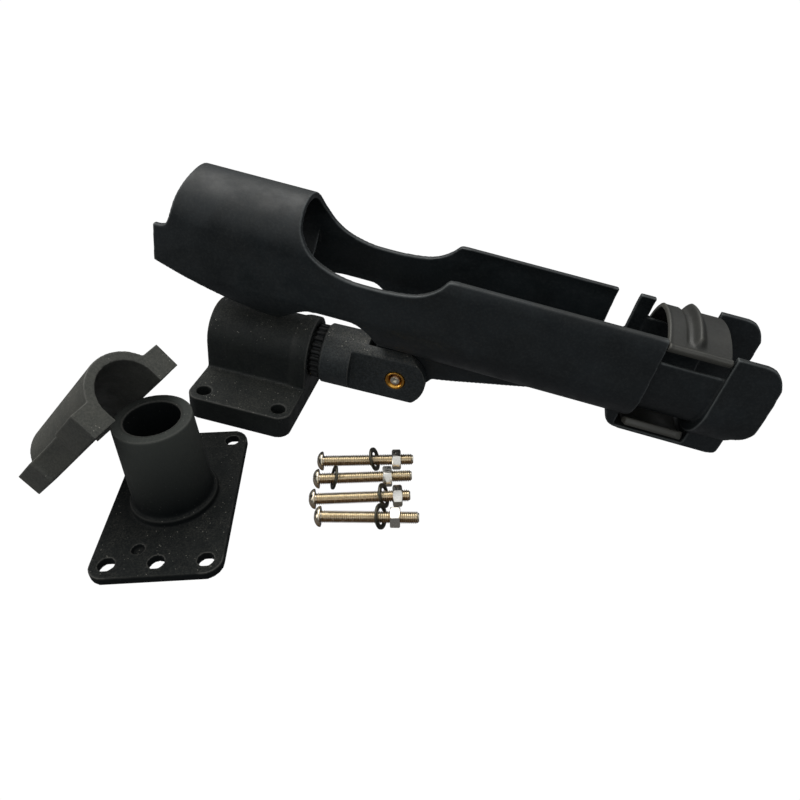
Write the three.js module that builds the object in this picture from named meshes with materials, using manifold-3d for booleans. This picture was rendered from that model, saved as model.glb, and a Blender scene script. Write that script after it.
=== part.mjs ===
// Adjustable fishing-rod holder kit: mount block with toothed socket, swivel arm with
// clevis, rod cradle with locking ring, deck plate with socket tube, rail clamp half
// and four bolt sets. Millimetres and degrees, +Z up. The origin is the centre of the
// mount block's underside. The block, arm and cradle share an assembly frame (block
// underside at z = 0, arm axis along X) that leans down towards +X about the block's
// lower +X edge. That edge and the deck plate's underside lie on one level surface.
import * as THREE from 'three';
import { mergeVertices } from 'three/addons/utils/BufferGeometryUtils.js';
import Module from 'manifold-3d';

const manifold = await Module();
manifold.setup();

const { degToRad, lerp, smoothstep } = THREE.MathUtils;

// ---- Dimensions shared by several pieces ----
const REST_TILT = 8.24;
const BASE_X = 63.5;
const AXIS_Z = 32.8; // height of the arm axis
const BORE_R = 13.3;
const HOLE_X = 23.3;
const HOLE_Y = 42.7;
const TEETH = 24;
const PIVOT_X = 85.4;
const EAR_Y = 12.6; // half the width over the clevis ears
const OVERCUT = 1; // how far cutters pass a face, and how far joined parts overlap

// ---- Materials ----
const plastic = (look) => new THREE.MeshStandardMaterial({ ...look, metalness: 0 });
const metal = (look) => new THREE.MeshStandardMaterial({ ...look, metalness: 1 });
const nylon = plastic({ color: 0x2b2b28, roughness: 0.72 });
const shell = plastic({ color: 0x1a1d20, roughness: 0.48 });
const ringGrey = plastic({ color: 0x45443f, roughness: 0.5 });
const brass = metal({ color: 0xc8902e, roughness: 0.3 });
const steel = metal({ color: 0xb9b4ab, roughness: 0.25 });
const dullSteel = metal({ color: 0x6d6b68, roughness: 0.45 });

// ---- Outlines: lists of [across, up] points ----
const polar = (cx, cy, radius, degrees) => [
  cx + radius * Math.cos(degToRad(degrees)),
  cy + radius * Math.sin(degToRad(degrees)),
];

function arc(cx, cy, radius, from, to, steps) {
  const points = [];
  for (let i = 0; i <= steps; i++) {
    points.push(polar(cx, cy, radius, from + (to - from) * i / steps));
  }
  return points;
}

const circle = (cx, cy, radius, sides) =>
  arc(cx, cy, radius, 0, 360 - 360 / sides, sides - 1);

const rectangle = (x0, x1, y0, y1) => [[x0, y0], [x1, y0], [x1, y1], [x0, y1]];

function roundRect(width, height, radius) {
  const x = width / 2 - radius;
  const y = height / 2 - radius;
  return [
    ...arc(x, -y, radius, -90, 0, 6),
    ...arc(x, y, radius, 0, 90, 6),
    ...arc(-x, y, radius, 90, 180, 6),
    ...arc(-x, -y, radius, 180, 270, 6),
  ];
}

// Toothed circle about the arm axis.
function toothedCircle(rootR, tipR) {
  const pitch = 360 / TEETH;
  // One tooth: place as a share of the pitch, radius.
  const corners = [[-0.5, rootR], [-0.3, rootR], [-0.2, tipR], [0.2, tipR], [0.3, rootR]];
  const points = [];
  for (let i = 0; i < TEETH; i++) {
    points.push(...corners.map(([share, r]) => polar(0, AXIS_Z, r, pitch * (i + share))));
  }
  return points;
}

// ---- Solids ----
// Directions given to a drawing's across, up and depth.
const TO_X = [[0, 1, 0], [0, 0, 1], [1, 0, 0]];
const TO_Y = [[1, 0, 0], [0, 0, -1], [0, 1, 0]];
const TO_Z = [[1, 0, 0], [0, 1, 0], [0, 0, 1]];

function frame(directions, x = 0, y = 0, z = 0) {
  const vectors = directions.map((direction) => new THREE.Vector3(...direction));
  return new THREE.Matrix4().makeBasis(...vectors).setPosition(x, y, z);
}

function toSolid(geometry, matrix) {
  // Only positions may count when the seams are merged.
  geometry.deleteAttribute('normal');
  geometry.deleteAttribute('uv');
  geometry.applyMatrix4(matrix);
  const merged = mergeVertices(geometry, 1e-4);
  return new manifold.Manifold(new manifold.Mesh({
    numProp: 3,
    vertProperties: merged.attributes.position.array,
    triVerts: new Uint32Array(merged.index.array),
  }));
}

function prism(outline, depth, matrix) {
  const shape = new THREE.Shape(outline.map((point) => new THREE.Vector2(...point)));
  const options = { depth, bevelEnabled: false, steps: 1 };
  return toSolid(new THREE.ExtrudeGeometry(shape, options), matrix);
}

// (y, z) outline from x0 to x1
const alongX = (outline, x0, x1) => prism(outline, x1 - x0, frame(TO_X, x0));
// (x, z) outline from y0 to y1
const alongY = (outline, y0, y1) =>
  prism(outline.map(([x, z]) => [x, -z]), y1 - y0, frame(TO_Y, 0, y0));
// (x, y) outline from z0 to z1
const alongZ = (outline, z0, z1) => prism(outline, z1 - z0, frame(TO_Z, 0, 0, z0));

// Turns a (radius, height) profile about the depth direction of the matrix.
function lathe(profile, segments, matrix) {
  const points = profile.map((point) => new THREE.Vector2(...point));
  const geometry = new THREE.LatheGeometry(points, segments);
  geometry.rotateX(Math.PI / 2);
  return toSolid(geometry, matrix);
}

// Drills a vertical through hole at every crossing of xs and ys.
function drill(body, xs, ys, radius, sides, thickness) {
  for (const x of xs) {
    for (const y of ys) {
      body = body.subtract(alongZ(circle(x, y, radius, sides), -OVERCUT, thickness + OVERCUT));
    }
  }
  return body;
}

// ---- Scene helpers ----
function addGroup(parent, x, y, z) {
  const group = new THREE.Group();
  group.position.set(x, y, z);
  parent.add(group);
  return group;
}

function addMesh(parent, name, body, material) {
  const { vertProperties, triVerts } = body.getMesh();
  const geometry = new THREE.BufferGeometry();
  geometry.setAttribute('position', new THREE.Float32BufferAttribute(vertProperties, 3));
  geometry.setIndex(new THREE.Uint32BufferAttribute(triVerts, 1));
  const mesh = new THREE.Mesh(geometry, material);
  mesh.name = name;
  parent.add(mesh);
  return mesh;
}

// ================= Mount block =================
const BASE_Y = 102.8;
const BASE_T = 15.3;
const BASE_CORNER_R = 8;
const BASE_HOLE_R = 4.3;
const ARCH_R = 19.4;
const ARCH_FOOT_Z = 6; // buried in the base
const COLLAR_STEPS = [[0.6, 22.5], [1.2, 25]]; // extra radius, start x
const SOCKET_R = 15.8;
const SOCKET_TIP_R = 17.3;
const SOCKET_DEPTH = 7.5;

// Base flange, half-barrel, and a bore with a toothed socket at the +X end.
function mountBlock() {
  const endX = BASE_X / 2;
  const arch = (radius, x0) => alongX([
    [radius, ARCH_FOOT_Z],
    ...arc(0, AXIS_Z, radius, 0, 180, 28),
    [-radius, ARCH_FOOT_Z],
  ], x0, endX);

  let body = alongZ(roundRect(BASE_X, BASE_Y, BASE_CORNER_R), 0, BASE_T);
  body = body.add(arch(ARCH_R, -endX));
  for (const [extra, x0] of COLLAR_STEPS) body = body.add(arch(ARCH_R + extra, x0));

  // Fillet between barrel and flange: y from the barrel side, z from the flange top.
  const fillet = [[-1, -1], [1.1, -1], [1.1, 0], [0.4, 0.4], [-1, 2]];
  for (const side of [1, -1]) {
    const outline = fillet.map(([y, z]) => [side * (ARCH_R + y), BASE_T + z]);
    body = body.add(alongX(outline, -endX, endX));
  }

  body = drill(body, [-HOLE_X, HOLE_X], [-HOLE_Y, HOLE_Y], BASE_HOLE_R, 24, BASE_T);
  const socket = toothedCircle(SOCKET_R, SOCKET_TIP_R);
  return body
    .subtract(alongX(circle(0, AXIS_Z, BORE_R, 40), -BASE_X, BASE_X))
    .subtract(alongX(socket, endX - SOCKET_DEPTH, BASE_X));
}

// ================= Swivel arm =================
const STEM_R = 12.8;
const STEM_X0 = -27;
const COLLAR_X0 = 32.4;
const COLLAR_X1 = 38.6;
const COLLAR_ROOT_R = 15.2;
const COLLAR_TIP_R = 16.8;
const BARREL_R = 18.6;
const BARREL_X1 = 57.3;
const EAR_R = 18.3;
const EAR_HOLE_R = 3.5;
const GAP_X0 = 66;
const GAP_Y = 6.6; // half the gap between the ears
const INSERT_SEAT_R = 6.35;
const INSERT_SEAT_DEPTH = 4.3;

// Stem, toothed collar, barrel and two clevis ears.
function swivelArm() {
  const rod = (radius, x0, x1, sides = 40) =>
    alongX(circle(0, AXIS_Z, radius, sides), x0, x1);
  const collar = toothedCircle(COLLAR_ROOT_R, COLLAR_TIP_R);
  const earSide = [
    [BARREL_X1 - 2, AXIS_Z - 19.5],
    [PIVOT_X, AXIS_Z - EAR_R - 0.3],
    ...arc(PIVOT_X, AXIS_Z, EAR_R, -90, 90, 20),
    [PIVOT_X, AXIS_Z + EAR_R + 0.3],
    [BARREL_X1 - 2, AXIS_Z + 19.5],
  ];
  const ears = rod(BARREL_R, BARREL_X1 - OVERCUT, PIVOT_X + EAR_R + OVERCUT, 48)
    .intersect(alongY(earSide, -EAR_Y, EAR_Y));
  const gap = rectangle(GAP_X0, PIVOT_X + 40, AXIS_Z - 30, AXIS_Z + 30);
  const pinHole = circle(PIVOT_X, AXIS_Z, EAR_HOLE_R, 24);
  const insertSeat = circle(PIVOT_X, AXIS_Z, INSERT_SEAT_R, 32);

  return rod(STEM_R, STEM_X0, COLLAR_X1 + OVERCUT)
    .add(alongX(collar, COLLAR_X0, COLLAR_X1 + OVERCUT))
    .add(rod(BARREL_R - 0.9, COLLAR_X1, COLLAR_X1 + 1.2)) // step at the barrel's edge
    .add(rod(BARREL_R, COLLAR_X1 + 0.9, BARREL_X1))
    .add(ears)
    .subtract(alongY(gap, -GAP_Y, GAP_Y))
    .subtract(alongY(pinHole, -EAR_Y - OVERCUT, EAR_Y + OVERCUT))
    .subtract(alongY(insertSeat, -EAR_Y - OVERCUT, -EAR_Y + INSERT_SEAT_DEPTH));
}

// Clevis hardware is turned about the pivot, with heights measured from the -Y ear face.
const PIVOT_FRAME = frame(TO_Y, PIVOT_X, -EAR_Y, AXIS_Z);

// Cup seated in the -Y ear.
const brassInsert = () => lathe([
  [3.35, 0.9], [4.6, -0.4], [5.5, -0.55], [6.05, -0.1], [6.05, 4], [3.35, 4], [3.35, 0.9],
], 32, PIVOT_FRAME);

// Bolt through both ears, head on the +Y side.
function pivotBolt() {
  const grip = 2 * EAR_Y;
  return lathe([
    [0, -0.2], [2.6, -0.2], [3.05, 0.3], [3.05, grip + 0.4], [6.2, grip + 0.4],
    [6.2, grip + 1.2], [5.2, grip + 3.2], [3, grip + 3.9], [0, grip + 3.9],
  ], 28, PIVOT_FRAME);
}

// ================= Rod cradle =================
// Own frame: x along the channel, z up, hoop centre at z = 0.
const CRADLE_ORIGIN = [107.09, 0, 101.6];
const CRADLE_PITCH = 2.607;
const CRADLE_X0 = -162.5;
const OUTER_WALL = { hoopR: 25.4, sideR: 27 };
const INNER_WALL = { hoopR: 22, sideR: 23.6 };
const SIDE_Z = -24; // centre height of the trough's round floor
const RIM_Z = 9;
const NECK_X0 = 113.4;
const NECK_X1 = 147.4;
const NECK_R = 24;
const NECK_INNER_R = 22;
const NECK_Z = -20.8;
const NECK_TOP_Z = -4;
const FLANGE_T = 2.5; // flange at each end of the neck
const LIP_X1 = 175.5;
const LUG_X = -18.5;
const LUG_Z = -69.7;
const LUG_R = 16;
const LUG_HOLE_R = 3.4;
const KEEL_Y = 6.1; // half the thickness of lug and keel
const KEEL_TOP_Z = -48;
const STRAP_Y = 13; // half the strap width

// Side outlines, as (x, z) points.
// Above the walls: hoop's +X edge, scallop, then the straight rim.
const RIM_CUT = [
  [-84, 40], [-84, 25.4], [-83.4, 20], [-82, 14], [-79.5, 9.4], [-75.6, 4.4], [-70, 0.2],
  [-62.5, -3], [-52, -5.3], [-40.5, -5.8], [-29.5, -5.3], [-19.5, -4], [-13.4, -2.2],
  [-8.6, 0.5], [-4.4, 4.1], [-1.7, 7.6], [0.4, 8.8], [2.6, RIM_Z], [160, RIM_Z], [160, 40],
];
// Above the -X end, up to the hoop's -X edge.
const REAR_CUT = [
  [-175, 40], [-175, -1.5], [-160.4, -1.9], [-157.4, -1.7], [-155, 0], [-153.3, 4.4],
  [-151.4, 14], [-149.6, 20], [-147.2, 26], [-147.2, 40],
];
// Below the sloped skirt and through the floor, as far as the closed trough.
const UNDER_CUT = [
  [-175, -18.6], [-162.6, -22.9], [-95, -45.6], [-92, -45.2], [-88.5, -41.6], [-82, -35.4],
  [-76, -31.2], [-69, -29.4], [-50, -29.1], [-44.5, -30.2], [-40, -32.8], [-36.6, -36.4],
  [-34, -41], [-32, -46], [-30, -52], [-30, -70], [-175, -70],
];
const LIP_SIDE = [
  [NECK_X1 - 1, 9.8], [163, 9.8], [167.5, 8.4], [171, 5.4], [173.6, 1.2], [175, -4],
  [175.4, -27], [174.8, -32], [172.6, -36.6], [168.6, -39.6], [162, -60], [NECK_X1 - 1, -60],
];
// Strap that runs below the locking ring and rises at both ends.
const STRAP_SIDE = [
  [104, -44], [103.2, -49], [104.4, -53.6], [107.4, -57.2], [111, -58.5], [114, -58.9],
  [165.5, -58.9], [168.6, -58], [170.2, -55.6], [170.2, -44], [150.2, -44],
  [150.2, -56.8], [110.6, -56.8], [110.6, -44],
];

const troughArc = (sideR) => arc(0, SIDE_Z, sideR, 184.2, 355.8, 24);

// Closed section with a round top.
const tunnelSection = ({ hoopR, sideR }) => [
  ...arc(0, 0, hoopR, 0, 180, 24),
  ...troughArc(sideR),
];

// Section cut off flat at a height; its walls are upright above z = 0 and flare below.
function troughSection({ hoopR, sideR }, top) {
  if (top < 0) {
    const halfWidth = hoopR + (sideR - hoopR) * top / SIDE_Z;
    return [[halfWidth, top], [-halfWidth, top], ...troughArc(sideR)];
  }
  return [[hoopR, top], [-hoopR, top], [-hoopR, 0], ...troughArc(sideR), [hoopR, 0]];
}

const neckSection = (radius, top) => [
  [radius - 0.2, top],
  [-radius + 0.2, top],
  ...arc(0, NECK_Z, radius, 180, 360, 24),
];

// Cutter that clears the lower channel.
const channelCutter = (centreZ, radius, x0, x1) =>
  alongX([[18, 0], [-18, 0], ...arc(0, centreZ, radius, 200, 340, 16)], x0, x1);

// Side outline carried across the full cradle width.
const fullWidth = (outline) => alongY(outline, -40, 40);

function cradleTunnel() {
  const { hoopR } = OUTER_WALL;
  const hoopFloor = [
    ...arc(0, 0, hoopR - 0.2, 180, 360, 24),
    ...arc(0, 0, INNER_WALL.hoopR, 360, 180, 24),
  ];
  return alongX(tunnelSection(OUTER_WALL), CRADLE_X0, NECK_X0)
    .subtract(alongX(tunnelSection(INNER_WALL), -170, 160))
    .subtract(fullWidth(RIM_CUT))
    .subtract(fullWidth(REAR_CUT))
    .subtract(fullWidth(UNDER_CUT))
    .add(alongX(hoopFloor, -150, -84))
    // Two notches in the +Y wall; the neck flange fills part of the second.
    .subtract(alongY(rectangle(90, 102.4, -15.4, 20), 12, 40))
    .subtract(alongY(rectangle(111.4, 118, -4, 20), 12, 40));
}

// Slimmer channel that carries the locking ring, with a flange at each end.
function cradleNeck() {
  const outline = neckSection(NECK_R, NECK_TOP_Z);
  let neck = alongX(outline, NECK_X0 - FLANGE_T, NECK_X1 + FLANGE_T);
  for (const x of [NECK_X0 - FLANGE_T, NECK_X1]) {
    neck = neck.add(alongX(troughSection(OUTER_WALL, NECK_TOP_Z), x, x + FLANGE_T));
  }
  return neck.subtract(alongX(neckSection(NECK_INNER_R, 30), 60, 200));
}

// Trough and side lips at the +X end.
const cradleLips = () => alongX(troughSection(OUTER_WALL, RIM_Z + 0.6), NECK_X1, LIP_X1)
  .subtract(alongX(troughSection(INNER_WALL, 40), 60, 200))
  .intersect(fullWidth(LIP_SIDE));

// Pivot lug with the keel rib that tapers towards +X.
function cradleKeel() {
  const side = [
    ...arc(LUG_X, LUG_Z, LUG_R, 175, 345, 18),
    [2.4, -66.2], [12, -64.2], [59.4, -52.6], [98, -48.6], [98, KEEL_TOP_Z],
    [LUG_X - LUG_R + 0.2, KEEL_TOP_Z],
  ];
  return alongY(side, -KEEL_Y, KEEL_Y)
    .subtract(channelCutter(SIDE_Z, INNER_WALL.sideR + 0.4, -60, 200));
}

function rodCradle() {
  const { sideR } = INNER_WALL;
  return cradleTunnel()
    .add(cradleNeck())
    .add(cradleLips())
    .add(alongY(STRAP_SIDE, -STRAP_Y, STRAP_Y))
    // Keep the channel clear where the strap joins.
    .subtract(channelCutter(NECK_Z, NECK_INNER_R, 60, 200))
    .subtract(channelCutter(SIDE_Z, sideR, 60, NECK_X0 - FLANGE_T))
    .subtract(channelCutter(SIDE_Z, sideR, NECK_X1 + FLANGE_T, 200))
    .add(cradleKeel())
    .subtract(alongY(circle(LUG_X, LUG_Z, LUG_HOLE_R, 24), -20, 20));
}

// ================= Locking ring =================
// C-ring around the neck, in the cradle frame. Angles run from +Y towards +Z.
const RING_Z = -22.5;
const RING_R = 34;
const RING_WALL = 2.3;
const RING_X0 = NECK_X0 + 0.6;
const RING_X1 = NECK_X1 - 0.6;
const RING_FROM = -126;
const RING_TO = 131.6;
// Flatter circle over the top, its centre measured from the ring centre.
const CROWN = { y: 1.4, z: -15.25, radius: 49.5 };
const CROWN_FROM = 26; // the round part starts to blend into the crown here
const CROWN_FULL = 60;
// Inner and outer offset from the outer surface, from angle, to angle, x0, x1.
const RING_BANDS = [
  [-RING_WALL, 0, RING_FROM, RING_TO, RING_X0, RING_X1], // ring wall
  [-1, 2, 31, RING_TO - 4, 125.6, 133.4], // raised bead
  [-1.2, 3.7, 36, RING_TO - 9, 127.2, 131.4], // bead crest
  [-RING_WALL + 0.4, 2.7, RING_TO - 6.5, RING_TO, RING_X0, RING_X1], // outward end lip
  [-RING_WALL - 2.4, -0.5, RING_FROM, RING_FROM + 8, RING_X0, RING_X1], // inward end lip
];

// Outer radius about the ring centre.
function ringRadius(degrees) {
  const angle = degToRad(Math.max(degrees, CROWN_FULL));
  const along = CROWN.y * Math.cos(angle) + CROWN.z * Math.sin(angle);
  const reach = CROWN.radius ** 2 - CROWN.y ** 2 - CROWN.z ** 2;
  const crownR = along + Math.sqrt(along * along + reach);
  return lerp(RING_R, crownR, smoothstep(degrees, CROWN_FROM, CROWN_FULL));
}

function ringCurve(offset, from, to) {
  const steps = 48;
  const points = [];
  for (let i = 0; i <= steps; i++) {
    const degrees = from + (to - from) * i / steps;
    points.push(polar(0, RING_Z, ringRadius(degrees) + offset, degrees));
  }
  return points;
}

const lockingRing = () => RING_BANDS
  .map(([inner, outer, from, to, x0, x1]) =>
    alongX([...ringCurve(outer, from, to), ...ringCurve(inner, to, from)], x0, x1))
  .reduce((ring, band) => ring.add(band));

// ================= Deck plate =================
const PLATE_POSITION = [-7, -110.9, 0];
const PLATE_TURN = 16;
const PLATE_Y = 104;
const PLATE_T = 4.8;
const PLATE_CORNER_R = 9;
const PLATE_HOLE_R = 3.9;
const PLATE_HOLE_Y = HOLE_Y + 0.8;
const TUBE_R = 20.4;
const TUBE_TOP_R = 19;
const TUBE_H = 57.5;
const TUBE_COLLAR_R = 22.3;
const TUBE_COLLAR_H = 9.2;
const BLIND_HOLE = { x: -10.5, y: -35.2, radius: 3.1, depth: 2.6 };

// Flat plate as wide as the mount block, with a tapered tube of the same bore.
function deckPlate() {
  const tube = lathe([
    [0, 1], [TUBE_R, 1], [TUBE_R, TUBE_COLLAR_H], [TUBE_TOP_R, TUBE_H], [0, TUBE_H],
  ], 48, frame(TO_Z));
  let body = alongZ(roundRect(BASE_X, PLATE_Y, PLATE_CORNER_R), 0, PLATE_T)
    .add(alongZ(circle(0, 0, TUBE_COLLAR_R, 48), 1, TUBE_COLLAR_H))
    .add(tube);
  body = drill(body, [0], [0], BORE_R, 40, TUBE_H);
  const holeXs = [-HOLE_X, 0, HOLE_X];
  body = drill(body, holeXs, [-PLATE_HOLE_Y, PLATE_HOLE_Y], PLATE_HOLE_R, 24, PLATE_T);
  const blind = circle(BLIND_HOLE.x, BLIND_HOLE.y, BLIND_HOLE.radius, 20);
  return body.subtract(alongZ(blind, PLATE_T - BLIND_HOLE.depth, PLATE_T + OVERCUT));
}

// ================= Rail clamp half =================
// Own frame: x across the rail, y along it, z away from it.
const CLAMP_POSITION = [-8.726, -113.185, 69.857];
const CLAMP_LEAN = [-0.5872, -0.5744, 1.2763]; // rotation axis times angle, radians
const CLAMP_X = 56.6;
const CLAMP_Y = 97;
const CLAMP_T = 14;
const CLAMP_H = 25.8;
const CLAMP_INNER_R = 15.35;
const CLAMP_OUTER_R = 20.1;
const CLAMP_HOLE_X = 24.4;
const CLAMP_HOLE_Y = HOLE_Y - 1.5; // from the middle of the clamp
const CLAMP_HOLE_R = 3.4;
const WAIST_Y0 = 25;

function railClamp() {
  const halfX = CLAMP_X / 2;
  const centreZ = CLAMP_H - CLAMP_OUTER_R;
  let body = alongY([
    [halfX, 0], [halfX, CLAMP_T], [CLAMP_OUTER_R, CLAMP_T],
    ...arc(0, centreZ, CLAMP_OUTER_R, 23.5, 156.5, 24),
    [-CLAMP_OUTER_R, CLAMP_T], [-halfX, CLAMP_T], [-halfX, 0], [-CLAMP_INNER_R, 0],
    ...arc(0, centreZ, CLAMP_INNER_R, 180, 0, 22),
    [CLAMP_INNER_R, 0],
  ], 0, CLAMP_Y);

  // Scalloped waist between the bolt lugs.
  const steps = 14;
  const waistLength = CLAMP_Y - 2 * WAIST_Y0;
  const waistDepth = halfX - CLAMP_OUTER_R - 0.6;
  for (const side of [1, -1]) {
    const outline = [[side * 40, WAIST_Y0]];
    for (let i = 0; i <= steps; i++) {
      const inset = waistDepth * Math.sin(Math.PI * i / steps) ** 0.6;
      outline.push([side * (halfX + 0.01 - inset), WAIST_Y0 + waistLength * i / steps]);
    }
    outline.push([side * 40, CLAMP_Y - WAIST_Y0]);
    body = body.subtract(alongZ(outline, -OVERCUT, CLAMP_H + 2));
  }
  const holeYs = [CLAMP_Y / 2 - CLAMP_HOLE_Y, CLAMP_Y / 2 + CLAMP_HOLE_Y];
  return drill(body, [-CLAMP_HOLE_X, CLAMP_HOLE_X], holeYs, CLAMP_HOLE_R, 20, CLAMP_T);
}

// ================= Bolt sets =================
// Each is built along X from the head end.
const BOLT_Z = 5.8;
const SHANK_R = 3;
const HEAD_R = 5.3;
const HEAD_H = 3.4;
const NUT_FLATS = 10; // across flats
const NUT_T = 5;
const NUT_HOLE_R = 3.3;
const WASHER_R = 6.6;
const WASHER_HOLE_R = 4.15;
const WASHER_T = 1.2;
const WASHER_RISE = 0.66;
// Head x, y, tip x, y, nut and washer place as shares of the length,
// washer lean and yaw, nut spin.
const BOLT_SETS = [
  [58.2, -70.8, 110.2, -58.3, 0.825, 0.598, -20, -8, 0],
  [60.4, -84.8, 112.1, -71.3, 0.752, 0.215, 18, 5, 0],
  [63.1, -99.6, 114.3, -86, 0.874, 0.738, -20, -9, -13],
  [69.6, -110.5, 121.9, -100.3, 0.772, 0.635, -18, -13, 17],
];

const bolt = (length) => lathe([
  [0, 0.05], [2.4, 0.3], [4.3, 1.3], [HEAD_R, 2.7], [HEAD_R, HEAD_H], [SHANK_R, HEAD_H],
  [SHANK_R, length - 0.8], [SHANK_R - 0.8, length], [0, length],
], 24, frame(TO_X));

const nut = () => alongX(circle(0, 0, NUT_FLATS / Math.sqrt(3), 6), -NUT_T / 2, NUT_T / 2)
  .subtract(alongX(circle(0, 0, NUT_HOLE_R, 24), -NUT_T, NUT_T));

function washer() {
  const section = rectangle(WASHER_HOLE_R, WASHER_R, -WASHER_T / 2, WASHER_T / 2);
  return lathe([...section, section[0]], 32, frame(TO_X));
}

function addBoltSet(parent, row, number) {
  const [headX, headY, tipX, tipY, nutAt, washerAt, lean, yaw, spin] = row;
  const length = Math.hypot(tipX - headX, tipY - headY);
  const group = addGroup(parent, headX, headY, BOLT_Z);
  group.rotation.z = Math.atan2(tipY - headY, tipX - headX);

  addMesh(group, `bolt_${number}`, bolt(length), steel);
  const nutMesh = addMesh(group, `nut_${number}`, nut(), steel);
  nutMesh.position.x = nutAt * length;
  nutMesh.rotation.x = degToRad(spin);
  const washerMesh = addMesh(group, `washer_${number}`, washer(), dullSteel);
  washerMesh.position.set(washerAt * length, 0, WASHER_RISE);
  washerMesh.rotation.set(0, degToRad(lean), degToRad(yaw));
}

// ================= Kit =================
// Leaning about the block's lower +X edge moves its centre by this much.
const tilt = degToRad(REST_TILT);
const restShift = BASE_X / 2 * (1 - Math.cos(tilt));
const restDrop = BASE_X / 2 * Math.sin(tilt);

const root = new THREE.Group();
root.position.set(-restShift, 0, -restDrop);

const assembly = addGroup(root, restShift, 0, restDrop);
assembly.rotation.y = tilt;
addMesh(assembly, 'mount_block', mountBlock(), nylon);
addMesh(assembly, 'swivel_arm', swivelArm(), nylon);
addMesh(assembly, 'brass_insert', brassInsert(), brass);
addMesh(assembly, 'pivot_bolt', pivotBolt(), steel);

const cradle = addGroup(assembly, ...CRADLE_ORIGIN);
cradle.rotation.y = degToRad(CRADLE_PITCH);
addMesh(cradle, 'rod_cradle', rodCradle(), shell);
addMesh(cradle, 'locking_ring', lockingRing(), ringGrey);

const plate = addGroup(root, ...PLATE_POSITION);
plate.rotation.z = degToRad(PLATE_TURN);
addMesh(plate, 'deck_plate', deckPlate(), nylon);

const clamp = addGroup(root, ...CLAMP_POSITION);
const leanAxis = new THREE.Vector3(...CLAMP_LEAN);
const leanAngle = leanAxis.length();
clamp.quaternion.setFromAxisAngle(leanAxis.normalize(), leanAngle);
addMesh(clamp, 'rail_clamp', railClamp(), nylon);

BOLT_SETS.forEach((row, i) => addBoltSet(root, row, i + 1));

export default root;
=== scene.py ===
"""A rod holder laid out with its loose parts.

The mount block stands on Z = 0 with its bore along +X, tilted a little about Y. The swivel arm runs
out of the bore towards +X and carries the rod cradle and its locking ring. The deck plate with its
socket tube and the rail clamp half lie towards -Y, and four bolts, each with a nut and a washer,
lie at +X of them. Parts are drawn in millimetres and degrees, and settle() puts them in metres.
"""
from math import atan2, cos, hypot, pi, radians, sin, sqrt

import bmesh
import bpy
import numpy as np
from mathutils import Matrix, Vector


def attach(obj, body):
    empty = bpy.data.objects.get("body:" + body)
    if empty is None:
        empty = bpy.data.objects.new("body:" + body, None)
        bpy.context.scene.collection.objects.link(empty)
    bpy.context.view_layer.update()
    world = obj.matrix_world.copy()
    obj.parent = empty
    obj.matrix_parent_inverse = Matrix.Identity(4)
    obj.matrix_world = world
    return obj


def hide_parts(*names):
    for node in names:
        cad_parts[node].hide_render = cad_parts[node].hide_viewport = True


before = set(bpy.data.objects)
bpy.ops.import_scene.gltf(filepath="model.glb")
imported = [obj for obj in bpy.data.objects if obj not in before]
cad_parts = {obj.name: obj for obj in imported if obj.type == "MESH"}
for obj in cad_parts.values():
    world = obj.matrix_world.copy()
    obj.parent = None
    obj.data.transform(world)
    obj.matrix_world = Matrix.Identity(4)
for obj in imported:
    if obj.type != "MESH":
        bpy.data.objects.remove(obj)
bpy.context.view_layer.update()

scene = bpy.context.scene

# ---------------------------------------------------------------- shared sizes and frames
REST_TILT = 8.24
BASE_X, BASE_Y, BASE_T, BASE_R = 63.5, 102.8, 15.3, 8
AXIS_Z = 32.8  # height of the bore and arm axis
HOLE_X, HOLE_Y = 23.3, 42.7  # half pitches of the screw holes
TEETH = 24  # in the block's socket and on the arm's collar

CRADLE_ORIGIN, CRADLE_PITCH = (107.09, 0, 101.6), 2.607
PLATE_PLACE, PLATE_TURN = (-7.0, -110.9, 0), 16.0
CLAMP_PLACE = (-8.726, -113.185, 69.857)
CLAMP_LEAN = Vector((-0.5872, -0.5744, 1.2763))  # rotation axis times angle in radians

TO_METRES = Matrix.Translation((-0.00032777, 0, -0.00455041)) @ Matrix.Scale(0.001, 4)


def turned(angle, axis):
    return Matrix.Rotation(radians(angle), 4, axis)


# the block and arm tilt together about the +X edge of the block's underside
MOUNT_FRAME = (Matrix.Translation((BASE_X / 2, 0, 0)) @ turned(REST_TILT, "Y")
               @ Matrix.Translation((-BASE_X / 2, 0, 0)))
CRADLE_FRAME = MOUNT_FRAME @ Matrix.Translation(CRADLE_ORIGIN) @ turned(CRADLE_PITCH, "Y")
PLATE_FRAME = Matrix.Translation(PLATE_PLACE) @ turned(PLATE_TURN, "Z")
CLAMP_FRAME = (Matrix.Translation(CLAMP_PLACE)
               @ Matrix.Rotation(CLAMP_LEAN.length, 4, CLAMP_LEAN.normalized()))


# ---------------------------------------------------------------- outlines
def arc(cx, cy, radius, start, end, steps):
    angles = [radians(start + (end - start) * i / steps) for i in range(steps + 1)]
    return [(cx + radius * cos(angle), cy + radius * sin(angle)) for angle in angles]


def circle(cx, cy, radius, count=96):
    return arc(cx, cy, radius, 0, 360 - 360 / count, count - 1)


def hexagon(cx, cy, radius, turn=0):
    angles = [radians(60 * k + turn) for k in range(6)]
    return [(cx + radius * cos(angle), cy + radius * sin(angle)) for angle in angles]


def round_rect(width, height, radius):
    x, y = width / 2 - radius, height / 2 - radius
    corners = ((x, -y), (x, y), (-x, y), (-x, -y))
    return [point for k, (cx, cy) in enumerate(corners)
            for point in arc(cx, cy, radius, 90 * k - 90, 90 * k, 16)]


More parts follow.
